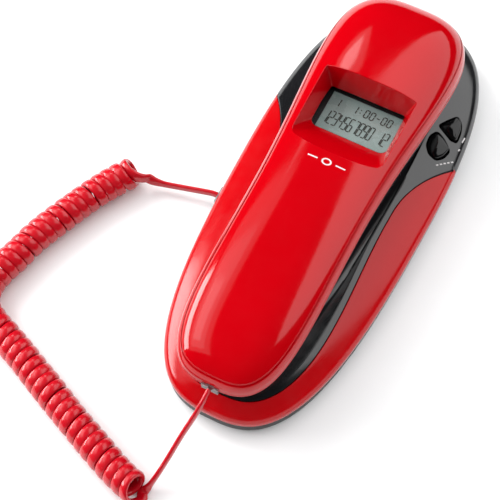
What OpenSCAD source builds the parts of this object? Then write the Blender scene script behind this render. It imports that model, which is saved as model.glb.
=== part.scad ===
// Slimline wall phone with a corded handset, lying on its back.
// X runs across it, Y towards the earpiece and Z away from the wall.

/* [Base] */
// Length of the base
base_len = 215; // [210:1:220]
// Width of the base at its middle
base_w = 87.6; // [86:0.2:90]
// Thickness of the housing walls
wall = 2; // [1.6:0.1:2.4]
// Height of the seam between the lower shell and the deck
seam_z = 8.4; // [8:0.1:8.8]
// Thickness of the red wing panel
wing_t = 1.4; // [1.2:0.1:1.5]
// Greatest width of the wing panel, measured in from the edge
wing_w = 14.8; // [13.5:0.1:15]
// How far up the sides the wing tips reach
wing_tip_y = 40; // [38:0.5:41]

/* [Wall mounting] */
// Distance between the two keyholes
keyhole_spacing = 83; // [80:0.5:84]
// Radius of a keyhole's round entry
keyhole_r = 4.25; // [4:0.05:4.5]
// Radius of a keyhole's narrow slot
keyhole_slot_r = 2.1; // [1.8:0.05:2.2]
// Thickness of the rubber feet below the shell
foot_t = 1.2; // [1:0.1:1.4]

/* [Handset] */
// Length of the handset
handset_len = 201; // [199:0.5:202]
// Width of the handset at its waist
handset_w = 51.6; // [51:0.1:53]
// Where the handset's middle lies along Y
handset_y = -5; // [-5.5:0.1:-4.5]
// Height of the handset's rim at the waist
rim_z = 40.6; // [40:0.1:41]
// Height of the handset's crown above its rim at the waist
crown_h = 10.9; // [10.4:0.1:11.4]
// Height of the flat underside that holds the keypad
under_z = 25; // [24.8:0.1:25.2]
// Radius of the earpiece cup
ear_r = 24; // [23:0.1:24]
// Where the middle of the earpiece cup lies along Y
ear_y = 64; // [63:0.5:65]
// Radius of the mouthpiece cup
mouth_r = 11; // [10:0.1:11.5]
// Where the middle of the mouthpiece cup lies along Y
mouth_y = -82; // [-83:0.5:-81]

/* [Display] */
// Width of the visible glass
glass_w = 32; // [30:0.5:33]
// Length of the visible glass
glass_len = 18; // [17:0.5:19]
// Where the middle of the glass lies along Y
glass_y = 31; // [30.5:0.5:31.5]
// Height of the glass
glass_z = 36.6; // [36.2:0.1:37]

/* [Keys and buttons] */
// Distance between key columns
key_dx = 15; // [14.6:0.1:15]
// Distance between key rows
key_dy = 11.7; // [11.2:0.1:12]
// Where the lowest key row lies along Y
key_y = -53; // [-54:0.5:-52]
// Width of a key
key_w = 11.4; // [10.6:0.1:11.4]
// Length of a key
key_len = 7.2; // [6.6:0.1:7.4]
// How far a key is pressed
key_travel = 1.2; // [0.8:0.1:1.2]
// How far the side buttons stand out of the deck
button_proud = 0.9; // [0.6:0.1:1.2]

/* [Hook] */
// Radius of the hook plunger's stem
hook_r = 3.5; // [3:0.1:4]
// Where the hook plunger lies along Y
hook_y = 28; // [27:0.5:30]

/* [Cord] */
// Outer diameter of the curly cord's coil
coil_d = 14; // [13:0.1:14]
// Radius of the plain tube that stands for the cord's straight leads
lead_r = 1.3; // [1:0.05:1.3]

/* [Hidden] */
$fn = 48;

gap = 0.3;                       // clearance between parts that move apart
fit = 0.08;                      // radial clearance of the sliding stem
floor_z = foot_t + wall;         // inner face of the lower shell's floor
board_z = floor_z + 2;           // underside of the base circuit board
board_t = 1.6;                   // thickness of a circuit board
skin_edge_z = 10.4;              // where the base's rounded shoulder begins
shoulder = 2.2;                  // radius of that shoulder
skin_rise = 0.70;                // slope of the base's skin at its edge
skin_crown = 0.014;              // how the slope eases off inwards
deck_in = 16;                    // where the sloping skin meets the flat deck
wing_gap = 0.15;                 // gap round the wing panel
wing_end_w = 6;                  // width of the wing panel round the lower end
wing_tip_w = 3;                  // width of the wing panel at its tips
ear_floor_z = 16;                // floor of the deck's recess for the earpiece
mouth_floor_z = 16.5;            // floor of the recess for the mouthpiece
cup_gap = 1.5;                   // room round the cups in their recesses
ear_bottom_z = 16.4;             // lowest face of the earpiece cup
mouth_bottom_z = 16.9;           // lowest face of the mouthpiece cup
handset_points = 56;             // points round the handset's outline
black = [0.03, 0.03, 0.035];
red = [0.83, 0.0, 0.06];
board_green = [0.05, 0.3, 0.12];
metal = [0.7, 0.7, 0.72];

base_screw_at = [[-22, 72], [22, 72], [-24, -60], [24, -60]];
handset_screw_at = [[-15, 1], [15, 1], [-14, -67], [14, -67]];
foot_at = [[-27, 56], [27, 56], [-20, -84], [20, -84]];
board_post_at = [[-24, -24], [24, -24], [-24, 24], [24, 24]];
jack_y = -14;                    // the handset cord's jack in the left wall
plug_z = 6.1;                    // middle of the plug in the base
handset_plug_z = 33.3;           // middle of the plug in the handset

// Outlines of the two side buttons, seen from above
upper_button = [[28.7, 54.2], [31, 58.6], [34.2, 64], [37, 61.6], [38.4, 57.6],
                [38.8, 52], [36, 51.4], [32.4, 52.6]];
lower_button = [[27.6, 47.6], [29.6, 51.4], [34, 49.6], [38, 46.6], [37, 41.6],
                [34.4, 38.4], [30.6, 39.2], [28, 42.6]];

// Middle line of the curly cord's coil, and the straight lead at each end
coil_z = 7.1;
coil_route = [[-81, -18], [-88, -29], [-94.8, -42], [-100.6, -56], [-104.6, -67.5],
              [-107.5, -80], [-110.4, -90], [-111, -99], [-107.6, -106.6],
              [-100.6, -111.2], [-91.5, -114.6], [-81.6, -118.6], [-68.2, -125.1],
              [-52.3, -132.5], [-34.6, -139.7], [-20, -145.7], [-11, -148.4]];
base_lead_route = [[-44.6, -14, 6.1], [-47, -14, 6.1], [-52, -15.2, 5.8],
                   [-58, -17, 5.3], [-65, -19.4, 4.9], [-71, -21.6, 5], [-77, -23.4, 5.6]];
handset_lead_route = [[0, -106.9, 33.3], [0, -109, 33.2], [0, -111.5, 31.6], [-0.6, -116, 28],
                      [-1.8, -124, 20.5], [-3.6, -132, 12.5], [-5.8, -139, 6],
                      [-8.4, -144.5, 2.4], [-11, -148, 1.4]];

// ---- shared geometry ----

function signed_pow(v, p) = sign(v) * pow(abs(v), p);
function mix(a, b, f) = a + (b - a) * f;
function ease(t) = let (c = min(max(t, 0), 1)) c * c * (3 - 2 * c);

// A point at angle a on a rounded outline whose width changes along its length
function oval(a, len, w, len_pow, w_pow, taper, bulge, y0) =
    let (s = signed_pow(sin(a), 2 / len_pow), c = signed_pow(cos(a), 2 / w_pow))
    [w / 2 * c * (1 + taper * s + bulge * s * s), y0 + len / 2 * s];

// Points on the base's and the handset's outlines
function base_at(a) = oval(a, base_len, base_w, 2.38, 2.76, 0.07, 0.10, 0);
function handset_at(a) = oval(a, handset_len, handset_w, 3, 3, 0.178, 0.46, handset_y);

// The outlines, anticlockwise from their -Y ends; the base's has a close pair of
// points just past each tip of the wing panel
tip_a = asin(pow(wing_tip_y / (base_len / 2), 2.38 / 2));
right_angles = concat([for (a = [-90:5:15]) a], [tip_a + 0.35, tip_a + 1],
                      [for (a = [25:5:90]) a]);
base_outline = concat(
    [for (a = right_angles) base_at(a)],
    [for (i = [len(right_angles) - 2:-1:1]) base_at(180 - right_angles[i])]);
handset_outline = [for (i = [0:handset_points - 1]) handset_at(-90 + 360 * i / handset_points)];

// Unit vector into an outline at point i
function inward(pts, i) =
    let (n = len(pts), t = pts[(i + 1) % n] - pts[(i + n - 1) % n], m = norm(t))
    [-t[1] / m, t[0] / m];
function inset(pts, d) = [for (i = [0:len(pts) - 1]) pts[i] + d * inward(pts, i)];
function level(pts, z) = [for (p = pts) [p[0], p[1], z]];

// Height of the base's skin at a distance d in from its edge
function skin_z(d) =
    let (e = 1 - min(d / shoulder, 1))
    skin_edge_z + shoulder * sqrt(1 - e * e) + skin_rise * d - skin_crown * d * d;

// Width of the wing panel beside an outline point at y
function wing_reach(y) =
    y > wing_tip_y + 0.9 ? 0
    : y > 5 ? max(wing_tip_w, wing_w * (1 - pow((y - 5) / (wing_tip_y - 4), 2)))
    : mix(wing_end_w, wing_w, ease((y + 95) / 95));

// Height of the handset's rim at y
function handset_s(y) = (y - handset_y) / (handset_len / 2);
function rim_at(y) = let (s = handset_s(y)) rim_z - 1.2 * s - 8.2 * s * s;

// Height of the handset's dome above a point, drawn in by d from its outline
function dome_z(x, y, d) =
    let (s = (y - handset_y) / (handset_len / 2 - d),
         c = abs(x) / (handset_w / 2 * (1 + 0.178 * s + 0.46 * s * s) - d),
         l = min(pow(abs(s), 3) + pow(c, 3), 1),
         h = crown_h + 4.2 * s + 8 * s * s + 8 * pow(s, 4))
    rim_at(y) + (h - d) * pow(1 - pow(l, 0.933), 1 / 2.2);

// A ring of the dome, part way from an outline towards the spine
function dome_ring(pts, u, d) = [
    for (p = pts)
        let (q = [0, min(max(p[1], -78), 66)], r = p + (q - p) * u)
        [r[0], r[1], u == 0 ? rim_at(r[1]) : dome_z(r[0], r[1], d)]
];

// Faces of a stack of rings, each seen anticlockwise from the next ring's side
function side_faces(n, m) = [
    for (j = [0:m - 2]) for (i = [0:n - 1])
        let (k = (i + 1) % n, a = j * n + i, b = j * n + k)
        each [[a, a + n, b + n], [a, b + n, b]]
];
function flipped(faces) = [for (f = faces) [f[2], f[1], f[0]]];

// A cap across a ring that is symmetric about X = 0 and starts at its -Y end
function zip_cap(n, at) = concat(
    [[at, at + 1, at + n - 1]],
    [for (i = [1:n / 2 - 2])
        each [[at + i, at + i + 1, at + n - i - 1], [at + i, at + n - i - 1, at + n - i]]],
    [[at + n / 2 - 1, at + n / 2, at + n / 2 + 1]]
);

// A closed solid through symmetric rings, from the lowest to the topmost
module loft(rings) {
    n = len(rings[0]);
    m = len(rings);
    polyhedron(
        points = [for (r = rings) each r],
        faces = concat(zip_cap(n, 0), side_faces(n, m), flipped(zip_cap(n, (m - 1) * n))),
        convexity = 6);
}

// A tube of round section swept along a route of points
module tube(route, r, sides) {
    m = len(route);
    rings = [
        for (i = [0:m - 1])
            let (t = route[min(i + 1, m - 1)] - route[max(i - 1, 0)],
                 f = t / norm(t),
                 h = cross([0, 0, 1], f),
                 side = h / norm(h),
                 up = cross(f, side))
            [for (k = [0:sides - 1])
                let (a = 360 * k / sides)
                route[i] + r * (cos(a) * side + sin(a) * up)]
    ];
    polyhedron(
        points = [for (r = rings) each r],
        faces = concat(
            [[for (k = [0:sides - 1]) k]],
            side_faces(sides, m),
            [[for (k = [sides - 1:-1:0]) (m - 1) * sides + k]]),
        convexity = 4);
}

// A flat plate with rounded corners, centred on X and Y
function round_rect(w, l, r) = [
    for (q = [0:3]) for (k = [0:3])
        let (a = 90 * q + 30 * k, sx = q == 0 || q == 3 ? 1 : -1, sy = q < 2 ? 1 : -1)
        [sx * (w / 2 - r) + r * cos(a), sy * (l / 2 - r) + r * sin(a)]
];
module plate(w, l, r, t) {
    linear_extrude(t) polygon(round_rect(w, l, r));
}

// A box centred on X and Y with its lowest face at the given point
module block(at, size) {
    translate([at[0] - size[0] / 2, at[1] - size[1] / 2, at[2]]) cube(size);
}

// A shape placed at each point of a list, at height z
module at_each(points, z) {
    for (p = points) translate([p[0], p[1], z]) children();
}

// A pan-head screw, head down
module screw(head_r, head_t, shank_r, shank_len) {
    difference() {
        union() {
            cylinder(r = head_r, h = head_t);
            cylinder(r = shank_r, h = head_t + shank_len);
        }
        block([0, 0, -1], [head_r * 1.3, 0.6, 1.6]);
        block([0, 0, -1], [0.6, head_r * 1.3, 1.6]);
    }
}

// ---- base ----

module keyhole() {
    cylinder(r = keyhole_r, h = wall + 2);
    translate([0, 7.5, 0]) cylinder(r = keyhole_slot_r, h = wall + 2);
    block([0, 3.75, 0], [2 * keyhole_slot_r, 7.5, wall + 2]);
}

module base_lower_shell() {
    outline = base_outline;
    color(black)
    difference() {
        union() {
            difference() {
                translate([0, 0, foot_t])
                    linear_extrude(seam_z - foot_t) polygon(inset(outline, 0.6));
                translate([0, 0, floor_z])
                    linear_extrude(seam_z) polygon(inset(outline, 0.6 + wall));
            }
            at_each(base_screw_at, foot_t) cylinder(r = 3.6, h = seam_z - foot_t);
            at_each(board_post_at, foot_t) cylinder(r = 2.5, h = board_z - foot_t);
        }
        at_each(base_screw_at, foot_t - 1) cylinder(r = 3, h = 2.8);
        at_each(base_screw_at, foot_t - 1) cylinder(r = 1.5, h = seam_z);
        for (side = [-1, 1])
            translate([0, side * keyhole_spacing / 2, foot_t - 1]) keyhole();
        for (i = [-2:2]) block([0, -68 + 3 * i, foot_t - 1], [12, 1.2, wall + 2]);
        block([-base_w / 2, jack_y, floor_z], [10, 8.4, seam_z]);
        block([0, base_len / 2, floor_z], [13, 20, seam_z]);
    }
}

// The deck's outer face is stepped down by the panel's thickness under the wing
function deck_ring(pts, f) = [
    for (i = [0:len(pts) - 1])
        let (p = pts[i], w = wing_reach(p[1]), e = f * max(w - wing_t, 0),
             d = w > 2 ? e + wing_t + wing_gap : 0,
             z = w > 2 ? skin_z(e) - wing_t : mix(seam_z + 0.3, skin_edge_z - 0.3, f),
             q = p + d * inward(pts, i))
        [q[0], q[1], z]
];
function deck_foot(pts) = [
    for (i = [0:len(pts) - 1])
        let (d = wing_reach(pts[i][1]) > 2 ? wing_t + wing_gap : 0,
             q = pts[i] + d * inward(pts, i))
        [q[0], q[1], seam_z]
];
function deck_skin(pts, f) = [
    for (i = [0:len(pts) - 1])
        let (w = wing_reach(pts[i][1]), start = w > 2 ? w + wing_gap : 0,
             d = mix(start, deck_in, f), q = pts[i] + d * inward(pts, i))
        [q[0], q[1], skin_z(d)]
];

module base_deck() {
    outline = base_outline;
    deck_z = skin_z(deck_in) - 0.4;
    color(black)
    difference() {
        union() {
            loft(concat(
                [level(inset(outline, deck_in), 17.2),
                 level(inset(outline, 8), 13.4),
                 level(inset(outline, 4.4), 10.8),
                 level(inset(outline, 3.8), seam_z)],
                [deck_foot(outline)],
                [for (f = [0, 0.08, 0.25, 0.6, 1]) deck_ring(outline, f)],
                [for (f = [0, 0.04, 0.14, 0.35, 0.65, 1]) deck_skin(outline, f)],
                [level(inset(outline, deck_in + 1), deck_z)]));
            translate([0, ear_y, ear_floor_z - wall])
                cylinder(r = ear_r + cup_gap + wall, h = deck_z - ear_floor_z + wall - 0.5);
            translate([0, mouth_y, mouth_floor_z - wall])
                cylinder(r = mouth_r + cup_gap + wall, h = 3.4);
            at_each(base_screw_at, seam_z + 0.1) cylinder(r = 3.2, h = 8.6);
        }
        translate([0, ear_y, ear_floor_z]) cylinder(r = ear_r + cup_gap, h = 20);
        translate([0, mouth_y, mouth_floor_z]) cylinder(r = mouth_r + cup_gap, h = 20);
        translate([0, hook_y, seam_z]) cylinder(r = hook_r + fit, h = 20);
        at_each(base_screw_at, seam_z - 1) cylinder(r = 1.25, h = 6);
        translate([0, 0, seam_z]) linear_extrude(20) button_hole(upper_button);
        translate([0, 0, seam_z]) linear_extrude(20) button_hole(lower_button);
        block([0, base_len / 2, seam_z - 1], [13, 20, 4.6]);
        block([0, 93, 18], [10.2, 3.2, 10]);
    }
}

// The wing panel's cross-section at outline angle a: outer face, then inner face
function wing_section(a) =
    let (pts = base_pair_at(a), p = pts[0], n = pts[1], w = wing_reach(p[1]),
         outer = [for (f = [0, 0.04, 0.12, 0.3, 0.6, 1]) [f * w, skin_z(f * w)]],
         inner = [for (f = [1, 0.6, 0.3, 0.1, 0])
                     let (e = f * (w - wing_t)) [e + wing_t, skin_z(e) - wing_t + 0.15]],
         line = concat([[0, seam_z]], outer, inner, [[wing_t, seam_z]]))
    [for (q = line) [p[0] + q[0] * n[0], p[1] + q[0] * n[1], q[1]]];

// A point on the base's outline at angle a, with the direction into the base
function base_pair_at(a) =
    let (t = base_at(a + 1.5) - base_at(a - 1.5), m = norm(t))
    [base_at(a), [-t[1] / m, t[0] / m]];

module base_wing() {
    steps = 52;
    sections = [for (i = [0:steps]) wing_section(tip_a - (180 + 2 * tip_a) * i / steps)];
    n = len(sections[0]);
    color(red)
    polyhedron(
        points = [for (s = sections) each s],
        faces = concat(
            wing_end(n, 0, false),
            side_faces(n, steps + 1),
            wing_end(n, steps * n, true)),
        convexity = 6);
}

// The wing's end faces, as triangles between its outer and inner faces
function wing_end(n, at, flip) =
    let (faces = [for (i = [0:(n - 3) / 2])
        let (a = at + i, b = at + i + 1, c = at + n - 2 - i, d = at + n - 1 - i)
        each (b == c ? [[a, b, d]] : [[a, b, c], [a, c, d]])])
    flip ? flipped(faces) : faces;

module rubber_feet() {
    color([0.12, 0.12, 0.12]) at_each(foot_at, 0) cylinder(r = 6, h = foot_t);
}

module base_screws() {
    color(metal) at_each(base_screw_at, foot_t + 0.2) screw(2.7, 1.4, 1.2, 8.4);
}

module base_circuit_board() {
    color(board_green)
    difference() {
        translate([0, 0, board_z])
            linear_extrude(board_t)
                polygon([[-28, -30], [28, -30], [28, 30], [38, 30], [38, 60], [25, 60],
                         [25, 32], [-28, 32]]);
        at_each([[-24, -24], [24, -24], [-24, 24]], board_z - 1) cylinder(r = 1.2, h = 4);
    }
    color([0.08, 0.08, 0.08]) {
        block([-8, -8, board_z + board_t], [14, 8, 2.2]);
        block([12, -16, board_z + board_t], [8, 6, 1.8]);
    }
    color([0.2, 0.3, 0.6])
        translate([-18, 10, board_z + board_t]) cylinder(r = 3, h = 6);
}

module hook_switch() {
    color([0.1, 0.1, 0.12]) block([12, hook_y - 6, board_z + board_t], [8, 12, 3.4]);
    color(metal)
        translate([9.4, hook_y - 1.6, board_z + board_t + 3.4]) cylinder(r = 0.8, h = 1);
}

module hook_plunger() {
    color(black) {
        translate([0, hook_y, 8]) cylinder(r = hook_r, h = under_z - 0.4 - 8);
        translate([0, hook_y, 11.6]) cylinder(r = hook_r + 2.6, h = 1.2);
        block([6.5, hook_y, 11.6], [8, 4, 1.2]);
    }
}

module hook_spring() {
    wire_r = 0.35;
    turns = 5;
    pitch = 0.84;
    color(metal)
        for (i = [0:turns - 1])
            translate([0, hook_y, board_z + board_t + 0.5 + wire_r + i * pitch])
                rotate_extrude() translate([hook_r + 1.1, 0]) circle(wire_r, $fn = 16);
}

module ringer() {
    color([0.75, 0.65, 0.3]) translate([0, -68, floor_z]) cylinder(r = 10, h = 0.6);
    color([0.1, 0.1, 0.1]) translate([0, -68, floor_z + 0.6]) cylinder(r = 9, h = 3.4);
}

module line_jack() {
    color([0.15, 0.15, 0.16])
    difference() {
        block([0, 98.3, floor_z + 0.05], [12.6, 13.4, 8.4]);
        block([0, 100.4, floor_z + 1.2], [9.8, 12.6, 6.4]);
    }
}

module base_cord_jack() {
    color([0.15, 0.15, 0.16])
    difference() {
        block([-33.6, jack_y, floor_z + 0.05], [10, 11.4, 5.9]);
        block([-36.8, jack_y, plug_z - 2.3], [10, 8, 4.6]);
    }
}

module handset_hanger_tab() {
    color(black) {
        block([0, 93, 18.1], [10, 3, 5.2]);
        block([0, 92, 22.3], [10, 4, 2]);
    }
}

module button_contact_pad() {
    color([0.35, 0.35, 0.36]) {
        block([31.6, 45, board_z + board_t], [12, 28, 0.8]);
        translate([32.5, 45, board_z + board_t + 0.8]) cylinder(r = 2, h = 0.5);
        translate([33.8, 56.5, board_z + board_t + 0.8]) cylinder(r = 2, h = 0.5);
    }
}

// ---- side buttons ----

function middle(pts) = [for (k = [0, 1]) let (v = [for (p = pts) p[k]]) (max(v) + min(v)) / 2];
function grown(pts, d) =
    let (c = middle(pts)) [for (p = pts) p + d * (p - c) / norm(p - c)];

module button_hole(pts) {
    polygon(grown(pts, gap + 0.1));
}

// A button cut from its outline, with a top that slopes like the deck beside it
module side_button(pts, foot_z) {
    c = middle(pts);
    slope = atan(skin_rise - 2 * skin_crown * 9);
    top = skin_z(9.5) + button_proud;
    color([0.05, 0.05, 0.055])
    intersection() {
        translate([0, 0, foot_z]) linear_extrude(20) polygon(pts);
        translate([c[0], c[1], top]) rotate([0, slope, 0]) block([0, 0, -30], [60, 60, 30]);
    }
}

module upper_side_button() { side_button(upper_button, board_z + board_t + 2.7); }
module lower_side_button() { side_button(lower_button, board_z + board_t + 2.7); }

// ---- handset housings ----

// The dome, drawn in by d all over and continued downwards from its rim
module dome_solid(d, foot_drop) {
    outline = inset(handset_outline, d);
    foot = [for (p = outline) [p[0], p[1], rim_at(p[1]) - foot_drop]];
    loft(concat(
        foot_drop > 0 ? [foot] : [],
        [for (u = [0, 0.02, 0.06, 0.13, 0.23, 0.37, 0.55, 0.78, 0.97])
            dome_ring(outline, u, d)]));
}

// The slanted pocket over the display, widening upwards from the glass
module pocket(grow) {
    w = glass_w / 2 + 0.5 + grow;
    y_low = glass_y - glass_len / 2 - grow;
    y_high = glass_y + glass_len / 2 + grow;
    rise = 22;
    low = glass_z - (grow > 0 ? 0 : 1);
    high = glass_z + rise;
    corners = [
        for (lvl = [[low, 0], [high, 1]])
            each [[-w - 7.6 * lvl[1], y_low - 28 * lvl[1], lvl[0]],
                  [w + 7.6 * lvl[1], y_low - 28 * lvl[1], lvl[0]],
                  [w + 7.6 * lvl[1], y_high + 3 * lvl[1], lvl[0]],
                  [-w - 7.6 * lvl[1], y_high + 3 * lvl[1], lvl[0]]]
    ];
    polyhedron(points = corners, faces = [[0, 1, 2, 3], [0, 4, 5, 1], [1, 5, 6, 2],
                                          [2, 6, 7, 3], [3, 7, 4, 0], [7, 6, 5, 4]]);
}

module handset_upper_shell() {
    color(red)
    difference() {
        union() {
            difference() {
                dome_solid(0, 0);
                dome_solid(wall, 1);
            }
            intersection() {
                union() {
                    pocket(1.6);
                    at_each(handset_screw_at, under_z + 3.1) cylinder(r = 3, h = 25);
                }
                dome_solid(0.5, 20);
            }
        }
        pocket(0);
        at_each(handset_screw_at, under_z) cylinder(r = 1.25, h = 12);
        block([0, -107.4, handset_plug_z - 3.7], [12.2, 10, 7.2]);
    }
}

// The outline of the handset's flat underside, drawn in further at its two ends
function underside(pts, d) = [
    for (i = [0:len(pts) - 1])
        pts[i] + (2.4 + d + 6.6 * pow(handset_s(pts[i][1]), 6)) * inward(pts, i)
];

module handset_lower_shell() {
    outline = handset_outline;
    seam = [for (p = inset(outline, 0.5)) [p[0], p[1], rim_at(p[1]) - 0.15]];
    belly = [for (p = inset(outline, 1.5)) [p[0], p[1], rim_at(p[1]) - 2.6]];
    opening = [for (p = inset(outline, 2.4)) [p[0], p[1], rim_at(p[1]) + 1]];
    trough = [for (p = inset(outline, 3.4)) [p[0], p[1], rim_at(p[1]) - 3]];
    color(black)
    difference() {
        union() {
            difference() {
                loft([level(underside(outline, 0), under_z), belly, seam]);
                loft([level(underside(outline, wall - 0.2), under_z + wall), trough, opening]);
            }
            translate([0, ear_y, ear_bottom_z])
                cylinder(r = ear_r, h = under_z + 1 - ear_bottom_z);
            translate([0, mouth_y, mouth_bottom_z])
                cylinder(r = mouth_r, h = under_z + 1 - mouth_bottom_z);
            at_each(handset_screw_at, under_z) cylinder(r = 4, h = 3);
        }
        translate([0, ear_y, ear_bottom_z + wall]) cylinder(r = ear_r - wall, h = 30);
        translate([0, mouth_y, mouth_bottom_z + 1.8]) cylinder(r = mouth_r - 1.8, h = 30);
        at_each([[0, 0], for (a = [0:60:300]) 6 * [cos(a), sin(a)]] + [for (i = [0:6]) [0, ear_y]],
                ear_bottom_z - 1) cylinder(r = 1.1, h = 5);
        translate([0, mouth_y, mouth_bottom_z - 1]) cylinder(r = 1, h = 5);
        for (c = [-1:1]) for (r = [0:3])
            translate([c * key_dx, key_y + r * key_dy, under_z - 1])
                plate(key_w + 0.5, key_len + 0.8, 3, 6.2);
        at_each(handset_screw_at, under_z - 1) cylinder(r = 2.9, h = 2.7);
        at_each(handset_screw_at, under_z - 1) cylinder(r = 1.5, h = 9);
        block([0, -104.6, handset_plug_z - 3.7], [12.2, 15.6, 7.2]);
    }
}

// ---- handset insides ----

module display_lens() {
    color([0.8, 0.85, 0.85, 0.4])
        translate([0, glass_y, glass_z - 1.5]) plate(glass_w + 3, glass_len + 3, 1, 1.4);
}

module display_panel() {
    color([0.55, 0.62, 0.55])
        translate([0, glass_y, glass_z - 4.1]) plate(glass_w + 3, glass_len + 4, 0.5, 2.4);
}

module display_frame() {
    color([0.06, 0.06, 0.06])
    difference() {
        translate([0, glass_y, glass_z - 4.9]) plate(glass_w + 7, glass_len + 8, 1, 3.2);
        translate([0, glass_y, glass_z - 4.15]) plate(glass_w + 3.2, glass_len + 4.2, 0.5, 4);
    }
}

module display_board() {
    color(board_green)
        translate([0, glass_y, glass_z - 6.15]) plate(glass_w + 7, glass_len + 10, 1, 1.2);
}

module display_ribbon() {
    color([0.85, 0.6, 0.2])
        translate([-6, 0, 0])
            rotate([90, 0, 90])
                linear_extrude(12)
                    polygon([[-9, 32.75], [4, 32.75], [16, 30.42], [20, 30.42], [20, 30.22],
                             [15.9, 30.22], [3.9, 32.55], [-9, 32.55]]);
}

module keypad_board() {
    color(board_green)
        translate([0, -34, under_z + 5.9]) plate(37, 54, 1, board_t);
}

module keypad_membrane() {
    color([0.6, 0.6, 0.6])
        translate([0, key_y + 1.5 * key_dy, under_z + 4.8]) plate(37, 50, 1, 1);
}

module ear_speaker() {
    color([0.2, 0.2, 0.2]) translate([0, ear_y, ear_bottom_z + wall + 0.8]) cylinder(r = 18, h = 3);
    color(metal) translate([0, ear_y, ear_bottom_z + wall + 3.8]) cylinder(r = 9, h = 3.4);
}

module speaker_gasket() {
    color([0.15, 0.15, 0.15])
        translate([0, ear_y, ear_bottom_z + wall])
            difference() {
                cylinder(r = 20, h = 0.8);
                translate([0, 0, -1]) cylinder(r = 15, h = 3);
            }
}

module microphone() {
    color(metal)
        translate([0, mouth_y, mouth_bottom_z + 1.8]) cylinder(r = 4.85, h = 5);
}

module microphone_boot() {
    color([0.1, 0.1, 0.1])
        translate([0, mouth_y, mouth_bottom_z + 1.8])
            difference() {
                cylinder(r = 7.5, h = 4);
                translate([0, 0, -1]) cylinder(r = 4.9, h = 6);
            }
}

module balance_weight() {
    color(metal) block([0, -72.5, under_z + 2.1], [18, 13, 6]);
}

module handset_cord_jack() {
    color([0.15, 0.15, 0.16])
    difference() {
        block([0, -96.6, handset_plug_z - 3.1], [11.4, 11.4, 6.2]);
        block([0, -98.8, handset_plug_z - 2.3], [8, 12, 4.6]);
    }
}

module handset_screws() {
    color(metal) at_each(handset_screw_at, under_z + 0.3) screw(2.6, 1.3, 1.2, 8);
}

// A key: cap below, retaining flange inside the housing
module key_cap(column, row) {
    color([0.75, 0.75, 0.76])
        translate([column * key_dx, key_y + row * key_dy, 0]) {
            translate([0, 0, under_z - 1.4]) plate(key_w, key_len, 2.8, wall + 1.4 + gap);
            translate([0, 0, under_z + wall + gap]) plate(key_w, key_len + 2.4, 2.8, 1);
        }
}

// ---- cord ----

// A modular plug, cable end towards -Y and latch on top
module cord_plug() {
    color([0.85, 0.87, 0.88, 0.6]) {
        block([0, 5.5, -2.2], [7.6, 11, 4.4]);
    }
}

module base_cord_plug() { translate([-44.5, jack_y, plug_z]) rotate([0, 0, -90]) cord_plug(); }
module handset_cord_plug() { translate([0, -106.5, handset_plug_z]) cord_plug(); }
module cord_base_lead() { color(red) tube(base_lead_route, lead_r, 8); }
module cord_handset_lead() { color(red) tube(handset_lead_route, lead_r, 8); }

module cord_coil() {
    color(red) tube([for (p = coil_route) [p[0], p[1], coil_z]], coil_d / 2, 12);
}

base_lower_shell();
base_deck();
base_wing();
rubber_feet();
base_screws();
base_circuit_board();
hook_switch();
hook_plunger();
hook_spring();
ringer();
line_jack();
base_cord_jack();
handset_hanger_tab();
button_contact_pad();
upper_side_button();
lower_side_button();
handset_upper_shell();
handset_lower_shell();
display_lens();
display_panel();
display_frame();
display_board();
display_ribbon();
keypad_board();
keypad_membrane();
ear_speaker();
speaker_gasket();
microphone();
microphone_boot();
balance_weight();
handset_cord_jack();
handset_screws();
key_cap(1, 3);  // key_1
key_cap(0, 3);  // key_2
key_cap(-1, 3);  // key_3
key_cap(1, 2);  // key_4
key_cap(0, 2);  // key_5
key_cap(-1, 2);  // key_6
key_cap(1, 1);  // key_7
key_cap(0, 1);  // key_8
key_cap(-1, 1);  // key_9
key_cap(1, 0);  // key_star
key_cap(0, 0);  // key_0
key_cap(-1, 0);  // key_hash
base_cord_plug();
cord_base_lead();
cord_coil();
cord_handset_lead();
handset_cord_plug();
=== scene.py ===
"""Looks of the slimline wall phone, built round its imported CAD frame. Sizes here are in
millimetres in the row frame, and MM turns them into metres. Only the camera's distance and the
lights' sizes and distances are in metres."""

import math

import bmesh
import bpy
import numpy as np
from mathutils import Matrix, Vector


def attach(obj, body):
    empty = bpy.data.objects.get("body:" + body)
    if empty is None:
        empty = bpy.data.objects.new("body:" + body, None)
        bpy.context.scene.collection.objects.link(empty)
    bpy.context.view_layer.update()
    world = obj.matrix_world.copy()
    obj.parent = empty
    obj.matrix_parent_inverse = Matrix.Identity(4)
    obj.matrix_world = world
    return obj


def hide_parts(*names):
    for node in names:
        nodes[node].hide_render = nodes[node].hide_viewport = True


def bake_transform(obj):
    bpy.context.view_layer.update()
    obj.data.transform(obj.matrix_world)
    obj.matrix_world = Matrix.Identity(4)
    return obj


MM = 0.001
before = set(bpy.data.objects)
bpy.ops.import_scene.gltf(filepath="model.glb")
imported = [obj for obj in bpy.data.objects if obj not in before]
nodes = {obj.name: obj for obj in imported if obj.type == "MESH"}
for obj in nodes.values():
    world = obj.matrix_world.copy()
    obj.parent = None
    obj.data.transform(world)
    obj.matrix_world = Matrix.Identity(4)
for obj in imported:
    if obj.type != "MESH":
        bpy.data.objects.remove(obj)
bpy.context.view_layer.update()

# ------------------------------------------------------------------ camera
CAM_AZ, CAM_EL = math.radians(27.0), math.radians(62.8)
CAM_TARGET = Vector((-21.5, -28.7, 0.0)) * MM
CAM_DISTANCE = 0.700
back = Vector(
    (math.sin(CAM_AZ) * math.cos(CAM_EL), -math.cos(CAM_AZ) * math.cos(CAM_EL), math.sin(CAM_EL))
)


def link(obj):
    bpy.context.scene.collection.objects.link(obj)
    return obj


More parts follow.
